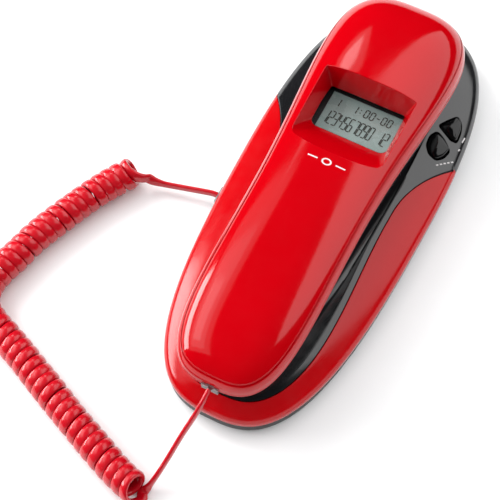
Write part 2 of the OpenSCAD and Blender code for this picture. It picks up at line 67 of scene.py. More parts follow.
camera = link(bpy.data.objects.new("camera", bpy.data.cameras.new("camera")))
camera.data.sensor_width = 36.0
camera.data.lens = 116.3
camera.data.clip_start, camera.data.clip_end = 0.05, 20.0
camera.location = CAM_TARGET + back * CAM_DISTANCE
camera.rotation_mode = "QUATERNION"
camera.rotation_quaternion = (-back).to_track_quat("-Z", "Y")
bpy.context.scene.camera = camera


# ------------------------------------------------------------------ materials
class Nodes:
    """A material's node tree, with short calls for the nodes used here."""

    def __init__(self, name):
        self.material = bpy.data.materials.new(name)
        self.material.use_nodes = True
        self.tree = self.material.node_tree
        self.bsdf = self.tree.nodes["Principled BSDF"]
        self.coords = None

    def add(self, kind, **values):
        node = self.tree.nodes.new(kind)
        for key, value in values.items():
            if key in node.inputs:
                node.inputs[key].default_value = value
            else:
                setattr(node, key, value)
        return node

    def wire(self, a, b):
        self.tree.links.new(a, b)

    def noise(self, scale, detail, stretch=None):
        if self.coords is None:
            self.coords = self.add("ShaderNodeTexCoord")
        node = self.add("ShaderNodeTexNoise", Scale=scale, Detail=detail, Roughness=0.55)
        source = self.coords.outputs["Object"]
        if stretch:
            mapping = self.add("ShaderNodeMapping", Scale=stretch)
            self.wire(source, mapping.inputs["Vector"])
            source = mapping.outputs["Vector"]
        self.wire(source, node.inputs["Vector"])
        return node.outputs["Fac"]

    def ramp(self, value, low, high):
        """The middle of a noise's range, spread from low to high."""
        node = self.add("ShaderNodeMapRange", clamp=True)
        node.inputs["From Min"].default_value, node.inputs["From Max"].default_value = 0.3, 0.7
        node.inputs["To Min"].default_value, node.inputs["To Max"].default_value = low, high
        self.wire(value, node.inputs["Value"])
        return node.outputs["Result"]

    def two_tone(self, value, a, b):
        node = self.add("ShaderNodeMix", data_type="RGBA")
        colour_a = [i for i in node.inputs if i.name == "A" and i.type == "RGBA"][0]
        colour_b = [i for i in node.inputs if i.name == "B" and i.type == "RGBA"][0]
        colour_a.default_value, colour_b.default_value = (*a, 1), (*b, 1)
        self.wire(self.ramp(value, 0.0, 1.0), node.inputs["Factor"])
        return [o for o in node.outputs if o.type == "RGBA"][0]

    def bump(self, value, strength, distance, after=None):
        node = self.add("ShaderNodeBump", Strength=strength, Distance=distance)
        self.wire(value, node.inputs["Height"])
        if after:
            self.wire(after, node.inputs["Normal"])
        return node.outputs["Normal"]


def moulded(name, dark, light, rough, coat=0.0, coat_rough=0.05, ior=1.5, grain=0.004,
            grain_scale=9000.0, blotch_scale=45.0, soft_edge=0.0):
    """Moulded plastic: slow colour drift, uneven gloss and a fine surface ripple."""
    m = Nodes(name)
    blotch = m.noise(blotch_scale, 4.0)
    m.wire(m.two_tone(blotch, dark, light), m.bsdf.inputs["Base Color"])
    m.wire(m.ramp(m.noise(160.0, 5.0), rough * 0.8, rough * 1.25), m.bsdf.inputs["Roughness"])
    m.bsdf.inputs["IOR"].default_value = ior
    m.bsdf.inputs["Coat Weight"].default_value = coat
    m.bsdf.inputs["Coat Roughness"].default_value = coat_rough
    eased = None
    if soft_edge:
        eased = m.add("ShaderNodeBevel", samples=6, Radius=soft_edge * MM).outputs["Normal"]
    ripple = m.bump(m.noise(260.0, 2.0), 0.25, 0.00002, eased)
    m.wire(m.bump(m.noise(grain_scale, 2.0), 0.3, grain * MM, ripple), m.bsdf.inputs["Normal"])
    return m.material


def metal(name, colour, rough):
    """Metal with a fine grain along one axis."""
    m = Nodes(name)
    brushed = m.noise(2500.0, 4.0, stretch=(1.0, 0.08, 1.0))
    m.wire(m.two_tone(brushed, [c * 0.82 for c in colour], colour), m.bsdf.inputs["Base Color"])
    m.bsdf.inputs["Metallic"].default_value = 1.0
    m.wire(m.ramp(brushed, rough * 0.7, rough * 1.3), m.bsdf.inputs["Roughness"])
    m.wire(m.bump(brushed, 0.2, 0.00001), m.bsdf.inputs["Normal"])
    return m.material


def clear(name, colour, rough, transmission, ior=1.5, alpha=1.0):
    """Clear plastic, seen through by transmission or by alpha."""
    m = Nodes(name)
    m.bsdf.inputs["Base Color"].default_value = (*colour, 1)
    m.bsdf.inputs["Transmission Weight"].default_value = transmission
    m.bsdf.inputs["IOR"].default_value = ior
    m.bsdf.inputs["Alpha"].default_value = alpha
    m.wire(m.ramp(m.noise(220.0, 3.0), rough * 0.6, rough * 1.6), m.bsdf.inputs["Roughness"])
    return m.material


RED = moulded("red_gloss_plastic", (0.400, 0.0, 0.0025), (0.418, 0.0, 0.003), 0.085,
             soft_edge=0.55)
RED_WING = moulded("red_wing_plastic", (0.425, 0.0, 0.002), (0.445, 0.0, 0.003), 0.17, ior=1.45)
RED_CORD = moulded("red_cord_jacket", (0.43, 0.0015, 0.008), (0.48, 0.002, 0.010), 0.22,
                   coat=0.25, coat_rough=0.12, grain=0.01, blotch_scale=300.0)
BLACK = moulded("black_gloss_plastic", (0.0065, 0.0065, 0.0075), (0.0095, 0.0095, 0.011), 0.15, ior=1.78)
GLOSS_BLACK = moulded("black_button_plastic", (0.003, 0.003, 0.0035), (0.005, 0.005, 0.0055), 0.08)
BLACK_MATT = moulded("black_satin_plastic", (0.010, 0.010, 0.011), (0.016, 0.016, 0.017), 0.42,
                     grain=0.03, grain_scale=2600.0)
SILVER = moulded("silver_key_paint", (0.50, 0.51, 0.53), (0.60, 0.61, 0.63), 0.3, coat=0.6,
                 grain=0.01, grain_scale=5200.0)
WHITE_INK = moulded("white_print", (0.56, 0.53, 0.53), (0.60, 0.57, 0.57), 0.45)
KEY_INK = moulded("dark_key_print", (0.02, 0.02, 0.022), (0.03, 0.03, 0.033), 0.4)
RUBBER = moulded("foot_rubber", (0.02, 0.02, 0.02), (0.035, 0.034, 0.033), 0.75, grain=0.05,
                 grain_scale=1800.0)
LCD = moulded("lcd_panel", (0.26, 0.345, 0.33), (0.30, 0.385, 0.365), 0.28, coat=0.3,
              grain=0.002, blotch_scale=24.0)
LCD_INK = moulded("lcd_segments", (0.012, 0.015, 0.014), (0.02, 0.024, 0.022), 0.4)
# painted shadow of the display digits: a darker green for a copy of the segments that lies on the panel
LCD_PAINTED_SHADOW = moulded("lcd_segment_painted_shadow", (0.17, 0.21, 0.19), (0.19, 0.23, 0.21), 0.5)
LENS = clear("display_window", (0.03, 0.035, 0.035), 0.04, 0.0, 1.46, alpha=0.05)
PLUG = clear("clear_plug", (0.55, 0.56, 0.58), 0.12, 0.9, 1.5)
STEEL = metal("screw_steel", (0.55, 0.55, 0.56), 0.32)
GOLD = metal("contact_gold", (0.85, 0.62, 0.25), 0.25)
BRASS = metal("ringer_brass", (0.72, 0.52, 0.22), 0.35)
BOARD = moulded("circuit_board", (0.015, 0.075, 0.03), (0.03, 0.12, 0.045), 0.45, coat=0.4,
                grain=0.02, blotch_scale=380.0)
RIBBON = moulded("amber_film", (0.38, 0.17, 0.03), (0.46, 0.22, 0.04), 0.3)
PAPER = moulded("speaker_cone", (0.05, 0.048, 0.045), (0.075, 0.07, 0.065), 0.8, grain=0.06,
                grain_scale=1400.0)

# ------------------------------------------------------------------ mesh helpers
SHARP = 32.0


def shade(obj, degrees=SHARP):
    """Smooth faces, with an edge kept sharp where its faces turn by more than that."""
    mesh = bmesh.new()
    mesh.from_mesh(obj.data)
    for face in mesh.faces:
        face.smooth = True
    limit = math.radians(degrees)
    for edge in mesh.edges:
        if len(edge.link_faces) == 2:
            edge.smooth = edge.calc_face_angle(0.0) < limit
    mesh.to_mesh(obj.data)
    mesh.free()
    return obj


def build(name, points, faces, material, degrees=SHARP):
    """A mesh object from points in millimetres."""
    data = bpy.data.meshes.new(name)
    data.from_pydata([tuple(float(c) * MM for c in p) for p in points], [], faces)
    obj = link(bpy.data.objects.new(name, data))
    mesh = bmesh.new()
    mesh.from_mesh(data)
    bmesh.ops.remove_doubles(mesh, verts=mesh.verts, dist=1e-7)
    bmesh.ops.recalc_face_normals(mesh, faces=mesh.faces)
    mesh.to_mesh(data)
    mesh.free()
    if material:
        data.materials.append(material)
    return shade(obj, degrees)


def strip_faces(n, m):
    """Quads between m closed rings of n points each."""
    return [
        (j * n + i, j * n + (i + 1) % n, (j + 1) * n + (i + 1) % n, (j + 1) * n + i)
        for j in range(m - 1)
        for i in range(n)
    ]


def loft(name, rings, material, degrees=SHARP):
    """A closed surface through rings with equal numbers of points, capped at both ends."""
    n, m = len(rings[0]), len(rings)
    points = [p for ring in rings for p in ring]
    faces = strip_faces(n, m)
    faces.append(tuple(range(n))[::-1])
    faces.append(tuple((m - 1) * n + i for i in range(n)))
    return build(name, points, faces, material, degrees)


def lathe(name, profile, centre, material=None, n=72):
    """A solid turned about a vertical line through centre, from (radius, z) points."""
    rings = [
        [(centre[0] + r * math.cos(2 * math.pi * i / n), centre[1] + r * math.sin(2 * math.pi * i / n), z)
         for i in range(n)]
        for r, z in profile
    ]
    return loft(name, rings, material)


def prism(name, outline, low, high, material=None):
    return loft(name, [[(x, y, z) for x, y in outline] for z in (low, high)], material)


def rounded(w, l, r, steps=5, centre=(0.0, 0.0)):
    """A rectangle's outline with rounded corners."""
    points = []
    for q, (sx, sy) in enumerate(((1, 1), (-1, 1), (-1, -1), (1, -1))):
        for k in range(steps + 1):
            a = math.radians(90 * q + 90 * k / steps)
            points.append((centre[0] + sx * (w / 2 - r) + r * math.cos(a),
                           centre[1] + sy * (l / 2 - r) + r * math.sin(a)))
    return points


def evaluated(obj):
    """Replaces an object's mesh by its mesh with modifiers applied."""
    depsgraph = bpy.context.evaluated_depsgraph_get()
    depsgraph.update()
    data = bpy.data.meshes.new_from_object(obj.evaluated_get(depsgraph))
    obj.modifiers.clear()
    obj.data = data
    return obj


def carve(obj, cutters, degrees=SHARP):
    """Cuts the cutters out of an object one at a time, and removes them."""
    for cutter in cutters:
        before = obj.data.copy()
        for careful in (False, True):
            modifier = obj.modifiers.new("cut", "BOOLEAN")
            modifier.operation, modifier.object, modifier.solver = "DIFFERENCE", cutter, "EXACT"
            modifier.use_self = careful
            bpy.context.view_layer.update()
            evaluated(obj)
            if len(obj.data.vertices) > 0.75 * len(before.vertices):
                break
            print("CUT again with care:", obj.name, cutter.name, len(before.vertices),
                  len(obj.data.vertices))
            obj.data = before.copy()
        bpy.data.objects.remove(cutter)
    return shade(obj, degrees)


def join(name, objects):
    """Joins objects into the first of them, keeping their materials."""
    mesh = bmesh.new()
    materials = []
    for obj in objects:
        first = len(mesh.faces)
        mesh.from_mesh(obj.data)
        mesh.faces.ensure_lookup_table()
        slots = []
        for material in obj.data.materials:
            if material not in materials:
                materials.append(material)
            slots.append(materials.index(material))
        for face in mesh.faces[first:]:
            face.material_index = slots[face.material_index] if slots else 0
    data = bpy.data.meshes.new(name)
    mesh.to_mesh(data)
    mesh.free()
    for material in materials:
        data.materials.append(material)
    for obj in objects:
        bpy.data.objects.remove(obj)
    return link(bpy.data.objects.new(name, data))


def catmull(points, per=12):
    """A smooth line through points, by the centripetal Catmull-Rom rule."""
    p = np.array(points, float)
    p = np.vstack([2 * p[0] - p[1], p, 2 * p[-1] - p[-2]])
    out = []
    for i in range(1, len(p) - 2):
        t = [0.0]
        for a, b in ((i - 1, i), (i, i + 1), (i + 1, i + 2)):
            t.append(t[-1] + math.sqrt(max(np.linalg.norm(p[b] - p[a]), 1e-6)))
        for s in np.linspace(t[1], t[2], per, endpoint=False):
            a1 = (t[1] - s) / (t[1] - t[0]) * p[i - 1] + (s - t[0]) / (t[1] - t[0]) * p[i]
            a2 = (t[2] - s) / (t[2] - t[1]) * p[i] + (s - t[1]) / (t[2] - t[1]) * p[i + 1]
            a3 = (t[3] - s) / (t[3] - t[2]) * p[i + 1] + (s - t[2]) / (t[3] - t[2]) * p[i + 2]
            b1 = (t[2] - s) / (t[2] - t[0]) * a1 + (s - t[0]) / (t[2] - t[0]) * a2
            b2 = (t[3] - s) / (t[3] - t[1]) * a2 + (s - t[1]) / (t[3] - t[1]) * a3
            out.append((t[2] - s) / (t[2] - t[1]) * b1 + (s - t[1]) / (t[2] - t[1]) * b2)
    out.append(p[-2])
    return np.array(out)


def along(line):
    return np.concatenate([[0.0], np.cumsum(np.linalg.norm(np.diff(line, axis=0), axis=1))])


def resample(line, n):
    s = along(line)
    at = np.linspace(0, s[-1], n)
    return np.stack([np.interp(at, s, line[:, k]) for k in range(line.shape[1])], axis=1)


def unit(v):
    return v / np.maximum(np.linalg.norm(v, axis=-1, keepdims=True), 1e-12)


# ------------------------------------------------------------------ the cord
COIL_R = 5.75
COIL_Z = 7.1
PITCH = 4.75
CORD_W, CORD_T = 4.7, 2.5
LEAD_SIZE = 0.80
TURN_POINTS, FIRST_ANGLE = 40, 262
UP = np.array([0.0, 0.0, 1.0])
COIL_ROUTE = [
    (-81, -18), (-88, -29), (-94.8, -42), (-100.6, -56), (-104.6, -67.5), (-107.5, -80),
    (-110.4, -90), (-111, -99), (-107.6, -106.6), (-100.6, -111.2), (-91.5, -114.6),
    (-81.6, -118.6), (-68.2, -125.1), (-52.3, -132.5), (-34.6, -139.7), (-20, -145.7),
    (-11, -148.4),
]
BASE_LEAD = [
    (-44.5, -14, 6.1), (-47, -14.1, 6.1), (-52, -15.1, 5.7), (-58, -16.4, 5.1), (-65, -18.0, 4.6),
    (-69.0, -19.0, 4.6), (-73.2, -20.0, 5.4),
]
HANDSET_LEAD = [
    (-9.8, -146.6, 1.5), (-8.6, -143.6, 3.4), (-7.2, -139.6, 6.6), (-5.6, -133, 11.6),
    (-3.6, -124, 19.4), (-1.2, -116, 27.4), (-0.2, -111.5, 31.6), (0, -109, 33.1),
    (0, -106.5, 33.3),
]


def coil_line():
    """The wound part of the cord, with the coil's own direction at each point."""
    axis = resample(catmull([(x, y, COIL_Z) for x, y in COIL_ROUTE], 20), 900)
    s = along(axis)
    turns = round(s[-1] / PITCH) - 0.24
    k = np.linspace(0, turns, int(turns * TURN_POINTS))
    # the first turn is pulled open, and the others vary a little
    pull = 1 + 1.2 * np.exp(-k / 0.5) + 0.10 * np.sin(k * 1.7) + 0.07 * np.sin(k * 4.1 + 1)
    reach = np.concatenate([[0], np.cumsum((pull[1:] + pull[:-1]) / 2)])
    at = reach / reach[-1] * s[-1]
    centre = np.stack([np.interp(at, s, axis[:, j]) for j in range(3)], axis=1)
    t = unit(np.gradient(axis, axis=0))
    t = unit(np.stack([np.interp(at, s, t[:, j]) for j in range(3)], axis=1))
    # the coil's direction dips at its first turn and rises at its last
    tilt = 1.0 * np.exp(-((k / 1.0) ** 2)) - 0.5 * np.exp(-(((turns - k) / 1.3) ** 2))
    t = unit(t - tilt[:, None] * UP)
    rise = unit(UP - (t @ UP)[:, None] * t)
    side = np.cross(t, rise)
    angle = np.radians(FIRST_ANGLE) + 2 * np.pi * k
    out = np.cos(angle)[:, None] * rise + np.sin(angle)[:, None] * side
    radius = COIL_R + 0.08 * np.sin(k * 0.9) - 0.08
    sway = 0.22 * np.sin(k * 0.53 + 0.7)[:, None] * side
    return centre + radius[:, None] * out + sway, t


def cord_object():
    """The cord as one flat tube. Its width stands upright along the leads, and in the coil it
    lies along the coil's direction."""
    wound, axis = coil_line()
    lead_a = catmull(BASE_LEAD + [tuple(wound[0]), tuple(wound[4]), tuple(wound[8])], 10)[:-20]
    lead_b = catmull([tuple(wound[-9]), tuple(wound[-5]), tuple(wound[-1])] + HANDSET_LEAD, 10)[20:]
    line = np.vstack([lead_a[:-1], wound, lead_b[1:]])
    flat = np.concatenate([
        np.clip((np.arange(len(lead_a) - 1) - (len(lead_a) - 26)) / 24.0, 0, 1),
        np.ones(len(wound)),
        1 - np.clip(np.arange(len(lead_b) - 1) / 26.0, 0, 1),
    ])
    flat = flat * flat * (3 - 2 * flat)
    tangent = unit(np.gradient(line, axis=0))
    wide_coil = np.vstack([np.repeat(axis[:1], len(lead_a) - 1, 0), axis,
                           np.repeat(axis[-1:], len(lead_b) - 1, 0)])
    wide = unit(flat[:, None] * wide_coil * -1 + (1 - flat[:, None]) * UP)
    wide = unit(wide - (wide * tangent).sum(1)[:, None] * tangent)
    thick = np.cross(tangent, wide)
    section = []
    sides, square = 16, 0.80
    for i in range(sides):
        a = 2 * math.pi * i / sides
        c, q = math.cos(a), math.sin(a)
        section.append((CORD_W / 2 * math.copysign(abs(c) ** square, c),
                        CORD_T / 2 * math.copysign(abs(q) ** square, q)))
    size = LEAD_SIZE + (1 - LEAD_SIZE) * flat
    rings = [[p + k * (w * u + h * v) for u, v in section]
             for p, w, h, k in zip(line, wide, thick, size)]
    obj = loft("curly_cord", rings, RED_CORD, degrees=60)
    return obj, line


cord, cord_path = cord_object()


# ------------------------------------------------------------------ outlines and surfaces
def signed_power(v, p):
    return np.sign(v) * np.abs(v) ** p


def oval(a, length, width, len_pow, w_pow, taper, bulge, y0):
    s = signed_power(np.sin(a), 2 / len_pow)
    c = signed_power(np.cos(a), 2 / w_pow)
    return np.stack([width / 2 * c * (1 + taper * s + bulge * s * s), y0 + length / 2 * s], axis=-1)


def ring_of(shape, n):
    """n evenly spaced points on an outline, anticlockwise from its -Y end, and inward directions."""
    a = np.linspace(-math.pi / 2, 1.5 * math.pi, 12001)
    dense = oval(a, *shape)
    s = along(dense)
    at = np.linspace(0, s[-1], n, endpoint=False)
    points = np.stack([np.interp(at, s, dense[:, k]) for k in range(2)], axis=1)
    t = unit(np.roll(points, -1, 0) - np.roll(points, 1, 0))
    return points, np.stack([-t[:, 1], t[:, 0]], axis=1)


# each outline: length, width, roundness along and across, taper, bulge, y of its middle
BASE = (215.0, 87.6, 2.38, 2.76, 0.07, 0.10, 0.0)
HANDSET = (201.0, 51.6, 3.0, 3.0, 0.178, 0.46, -5.0)
HANDSET_L, HANDSET_W, _, _, TAPER, BULGE, HANDSET_Y = HANDSET
SEAM_Z, EDGE_Z, SHOULDER = 8.4, 10.4, 2.2
WING_T, WING_W, WING_TIP = 1.4, 15.0, 41.0
DECK_IN, DECK_Z = 17.5, 19.75


def skin_z(d):
    """Height of the base's sloping top at a depth d in from its outline."""
    e = 1 - np.minimum(d / SHOULDER, 1)
    return EDGE_Z + SHOULDER * np.sqrt(np.maximum(1 - e * e, 0)) + 0.70 * d - 0.014 * d * d


def wing_reach(y):
    """Width of the wing panel beside an outline point at y."""
    f = np.clip((y + 95) / 95, 0, 1)
    low = 7.4 + (WING_W - 7.4) * f * f * (3 - 2 * f)
    up = WING_W * (1 - (np.clip(y - 5, 0, WING_TIP - 5) / (WING_TIP - 5)) ** 2)
    return np.where(y > 5, up, low)


def at_depth(points, inward, d, z):
    """The outline's ring moved inwards by d, at height z; d and z may vary round it."""
    d = np.broadcast_to(d, len(points))
    z = np.broadcast_to(z, len(points))
    q = points + d[:, None] * inward
    return np.column_stack([q, z])


base_pts, base_in = ring_of(BASE, 420)
base_wing_w = wing_reach(base_pts[:, 1])


# ------------------------------------------------------------------ base lower shell
KEYHOLE_R, SLOT_W, SLOT_L, SLOT_R = 4.25, 4.2, 9.6, 2.09


def keyhole(name, y):
    entry = lathe(name, [(KEYHOLE_R, 0), (KEYHOLE_R, 5)], (0, y))
    slot = prism(name + "_slot", rounded(SLOT_W, SLOT_L, SLOT_R, centre=(0, y + SLOT_L / 2)), 0, 5)
    return [entry, slot]


SCREWS = [(-22, 72), (22, 72), (-24, -60), (24, -60)]


def box(name, centre, size, material=None):
    x, y, z = centre
    a, b, c = (v / 2 for v in size)
    rings = [[(x - a, y - b, h), (x + a, y - b, h), (x + a, y + b, h), (x - a, y + b, h)]
             for h in (z - c, z + c)]
    return loft(name, rings, material)


def make_lower_shell():
    rings = [at_depth(base_pts, base_in, d, z) for d, z in (
        (3.2, 1.2), (1.9, 1.35), (1.1, 1.9), (0.7, 2.9), (0.6, 4.0), (0.6, 8.0), (0.75, 8.25),
        (2.5, 8.25), (2.6, 8.1), (2.6, 3.3), (2.8, 3.2))]
    shell = loft("base_lower_shell_skin", rings, BLACK_MATT)
    cutters = keyhole("keyhole_up", 41.5) + keyhole("keyhole_down", -41.5)
    cutters += [lathe("screw_well", [(3, 0), (3, 3.0)], p, n=32) for p in SCREWS]
    cutters += [box("vent", (0, -68 + 3 * i, 2.5), (12, 1.2, 5)) for i in range(-2, 3)]
    cutters += [box("cord_way", (-43.5, -14, 7.7), (9.4, 8.4, 9)),
                box("line_way", (0, 107, 8), (13, 19, 9.6))]
    return carve(shell, cutters)


lower_shell = make_lower_shell()


# ------------------------------------------------------------------ base deck
def petal(points, rounds=3):
    """A smooth closed outline, anticlockwise, from a few clockwise corner points."""
    p = np.array(points, float)[::-1]
    for _ in range(rounds):
        q = np.roll(p, -1, 0)
        p = np.stack([0.82 * p + 0.18 * q, 0.18 * p + 0.82 * q], axis=1).reshape(-1, 2)
    return p


UPPER_BUTTON = petal([(28.7, 54.2), (31.0, 58.6), (34.2, 64.0), (37.0, 61.6), (38.4, 57.6),
                      (38.8, 52.0), (36.0, 51.4), (32.4, 52.6)])
LOWER_BUTTON = petal([(27.6, 47.6), (29.6, 51.4), (34.0, 49.6), (38.0, 46.6), (37.0, 41.6),
                      (34.4, 38.4), (30.6, 39.2), (28.0, 42.6)])


def grown(outline, d):
    t = unit(np.roll(outline, -1, 0) - np.roll(outline, 1, 0))
    return outline + d * np.stack([t[:, 1], -t[:, 0]], axis=1)


EAR_AT, MOUTH_AT, HOOK_AT = (0, 64), (0, -82), (0, 28)


def make_deck():
    """The deck: under the wing it drops by a step, and past the wing it is the outer skin."""
    y = base_pts[:, 1]
    taper = np.clip((WING_TIP + 0.5 - y) / 4.0, 0, 1)
    step = 1.55 * taper
    reach = np.maximum(base_wing_w, 1.2)
    gap = 0.16
    rings = [at_depth(base_pts, base_in, 19.5, 14.3), at_depth(base_pts, base_in, 9, 12.6),
             at_depth(base_pts, base_in, 4.6, 10.8), at_depth(base_pts, base_in, 4.0, SEAM_Z),
             at_depth(base_pts, base_in, step + 0.35, SEAM_Z),
             at_depth(base_pts, base_in, step + 0.1, SEAM_Z + 0.2)]
    for f in (0.0, 0.02, 0.05, 0.1, 0.17, 0.27, 0.4, 0.6, 0.8, 1.0):
        e = f * np.maximum(reach - step, 0.05)
        rings.append(at_depth(base_pts, base_in, e + step + gap * taper, skin_z(e) - step))
    start = reach + gap * taper
    rings.append(at_depth(base_pts, base_in, start + 0.01, skin_z(start) - 0.22 * taper))
    rings.append(at_depth(base_pts, base_in, start + 0.08, skin_z(start) - 0.06 * taper))
    ear_end = np.clip(y / 25.0, 0, 1)
    bend = np.minimum((start + 2.2) * (1 - ear_end) + DECK_IN * ear_end, DECK_IN - 0.4)
    top = np.maximum(19.9 + 0.66 * ear_end, skin_z(bend))
    for f in (0.04, 0.15, 0.35, 0.6, 0.85, 1.0):
        d = start + f * (bend - start)
        rings.append(at_depth(base_pts, base_in, d, skin_z(d)))
    for f in (0.2, 0.45, 0.7, 0.88, 1.0):
        d = bend + f * (DECK_IN - bend)
        rings.append(at_depth(base_pts, base_in, d, skin_z(bend) + f * (top - skin_z(bend))))
    for dd, dz in ((0.25, -0.04), (0.42, -0.2), (0.5, -0.42)):
        rings.append(at_depth(base_pts, base_in, DECK_IN + dd, top + dz))
    rings.append(at_depth(base_pts, base_in, DECK_IN + 0.75, DECK_Z))
    deck = loft("base_deck_skin", rings, BLACK)
    ear = [(24.9, 16.0), (25.3, 16.15), (25.5, 16.6), (25.5, 18.9), (25.62, 19.3),
           (25.95, 19.62), (26.4, 19.8), (28, 20.6), (28, 26)]
    mouth = [(12.0, 16.5), (12.4, 16.65), (12.5, 17.0), (12.5, 18.9), (12.62, 19.3),
             (12.95, 19.62), (13.4, 19.8), (15, 20.6), (15, 26)]
    cutters = [
        lathe("ear_well", ear, EAR_AT, n=120), lathe("mouth_well", mouth, MOUTH_AT, n=96),
        lathe("hook_hole", [(11.0, 8), (11.0, 15.95), (3.6, 15.95), (3.6, 19.3), (4.1, 19.9), (4.1, 26)],
              HOOK_AT, n=48),
        prism("upper_hole", grown(UPPER_BUTTON, 0.35), 7, 26),
        prism("lower_hole", grown(LOWER_BUTTON, 0.35), 7, 26),
        box("line_cut", (0, 107, 9.5), (13, 19, 5)),
        box("tab_slot", (0, 93, 22), (10.2, 3.2, 8)),
    ]
    return carve(deck, cutters)


deck = make_deck()


# ------------------------------------------------------------------ red wing panel
def make_wing():
    """The panel from one tip round the lower end to the other, as a loft of cross-sections."""
    tip = math.asin(((WING_TIP - 0.15) / (BASE[0] / 2)) ** (BASE[2] / 2))
    a = np.linspace(tip, -math.pi - tip, 6001)
    dense = oval(a, *BASE)
    s = along(dense)
    n = 400
    f = np.linspace(0, 1, n)
    at = s[-1] * (0.5 - 0.5 * np.cos(np.pi * f) * 0.12 - (0.5 - f) * 0.88)
    at = np.clip(at, 0, s[-1])
    points = np.stack([np.interp(at, s, dense[:, k]) for k in range(2)], axis=1)
    t = unit(np.gradient(points, axis=0))
    inward = np.stack([t[:, 1], -t[:, 0]], axis=1)
    reach = np.maximum(wing_reach(points[:, 1]), 0.9)
    thin = WING_T * np.clip(reach / 4.0, 0.25, 1)
    columns = [(0.35, SEAM_Z + 0.02), (0.10, SEAM_Z + 0.06), (0.0, SEAM_Z + 0.3),
               (0.0, EDGE_Z - 0.5)]
    rings = [at_depth(points, inward, d, z) for d, z in columns]
    edge = 0.45
    shoulder = 1.0
    for d in (0.0, 0.03, 0.1, 0.22, 0.4, 0.65, 1.0):
        q = np.minimum(d, reach - edge)
        rings.append(at_depth(points, inward, q, skin_z(q)))
    for g in (0.0, 0.04, 0.09, 0.15, 0.25, 0.38, 0.52, 0.68, 0.84, 1.0):
        q = shoulder + g * (reach - edge - shoulder)
        q = np.maximum(q, np.minimum(shoulder, reach - edge))
        rings.append(at_depth(points, inward, q, skin_z(q)))
    for dd, dz in ((0.22, 0.03), (0.36, 0.12), (0.43, 0.26), (0.45, 0.45)):
        rings.append(at_depth(points, inward, reach - edge + dd, skin_z(reach - edge + dd) - dz))
    rings.append(at_depth(points, inward, reach, skin_z(reach) - thin * 0.98))
    for g in (0.95, 0.7, 0.4, 0.15, 0.0):
        e = g * np.maximum(reach - thin, 0.02)
        rings.append(at_depth(points, inward, e + thin * 0.9, skin_z(e) - thin * 0.95))
    rings.append(at_depth(points, inward, thin * 0.9, SEAM_Z + 0.02))
    rings = np.array(rings)
    m = len(rings)
    pts = [tuple(rings[j, i]) for i in range(n) for j in range(m)]
    faces = strip_faces(m, n)
    faces.append(tuple(range(m)))
    faces.append(tuple((n - 1) * m + j for j in range(m))[::-1])
    return build("base_wing_skin", pts, faces, RED_WING, 40)


wing = make_wing()


# ------------------------------------------------------------------ side buttons
def depth_at(x, y):
    return float(np.min(np.hypot(base_pts[:, 0] - x, base_pts[:, 1] - y)))


def make_button(name, outline):
    """A domed cap that stands on the sloping deck with a flatter top than the deck's."""
    c = (outline.max(0) + outline.min(0)) / 2
    middle = float(skin_z(depth_at(*c)))

    def top(x, y, h):
        return middle + 0.10 * (float(skin_z(depth_at(x, y))) - middle) + h

    outline = grown(outline, -0.3)
    rings = [[(x, y, 9.5) for x, y in outline]]
    for d, h in ((0, -0.5), (0, 0.2), (0.07, 0.45), (0.22, 0.68), (0.5, 0.88), (1.0, 1.08),
                 (1.8, 1.25)):
        rings.append([(x, y, top(x, y, h)) for x, y in grown(outline, -d)])
    for f, h in ((0.62, 1.38), (0.3, 1.45)):
        rings.append([(x, y, top(x, y, h)) for x, y in c + (grown(outline, -1.8) - c) * f])
    return loft(name, rings, GLOSS_BLACK, degrees=50)


upper_button = make_button("upper_side_button_cap", UPPER_BUTTON)
lower_button = make_button("lower_side_button_cap", LOWER_BUTTON)


def deck_dash(x, y, length, degrees_round):
    """A small printed dash that lies on the deck."""
    a = math.radians(degrees_round)
    u, v = np.array([math.cos(a), math.sin(a)]), np.array([-math.sin(a), math.cos(a)])
    shape = [np.array([x, y]) + u * length * i / 2 + v * j * 0.28
             for i, j in ((-1, -1), (1, -1), (1, 1), (-1, 1))]
    return [(q[0], q[1], float(skin_z(depth_at(*q))) + 0.06) for q in shape]


dashes = [deck_dash(40.7, 55.6, 3.0, 88), deck_dash(41.0, 50.0, 1.2, 75)]
dashes += [deck_dash(36.0 + 1.2 * i, 37.0 + 1.45 * i, 1.15, 50) for i in range(5)]
deck_marks = build("deck_marks", [q for dash in dashes for q in dash],
                   [tuple(range(4 * i, 4 * i + 4)) for i in range(len(dashes))], WHITE_INK)


# ------------------------------------------------------------------ handset upper shell
GLASS_Y, GLASS_Z, GLASS_HALF_W, GLASS_HALF_L = 31.0, 36.6, 16.5, 9.0


def rim_z(y):
    """Height of the seam round the handset, which droops at both ends."""
    s = (y - HANDSET_Y) / (HANDSET_L / 2)
    return 40.6 - 1.2 * s - 8.2 * s * s


def dome_z(x, y):
    """Height of the handset's domed top."""
    s = (y - HANDSET_Y) / (HANDSET_L / 2)
    c = np.abs(x) / (HANDSET_W / 2 * (1 + TAPER * s + BULGE * s * s))
    level = np.minimum(np.abs(s) ** 3 + c**3, 1)
    h = 10.9 + 4.2 * s + 8 * s * s + 8 * s**4
    return rim_z(y) + h * (1 - level**0.933) ** (1 / 2.2)


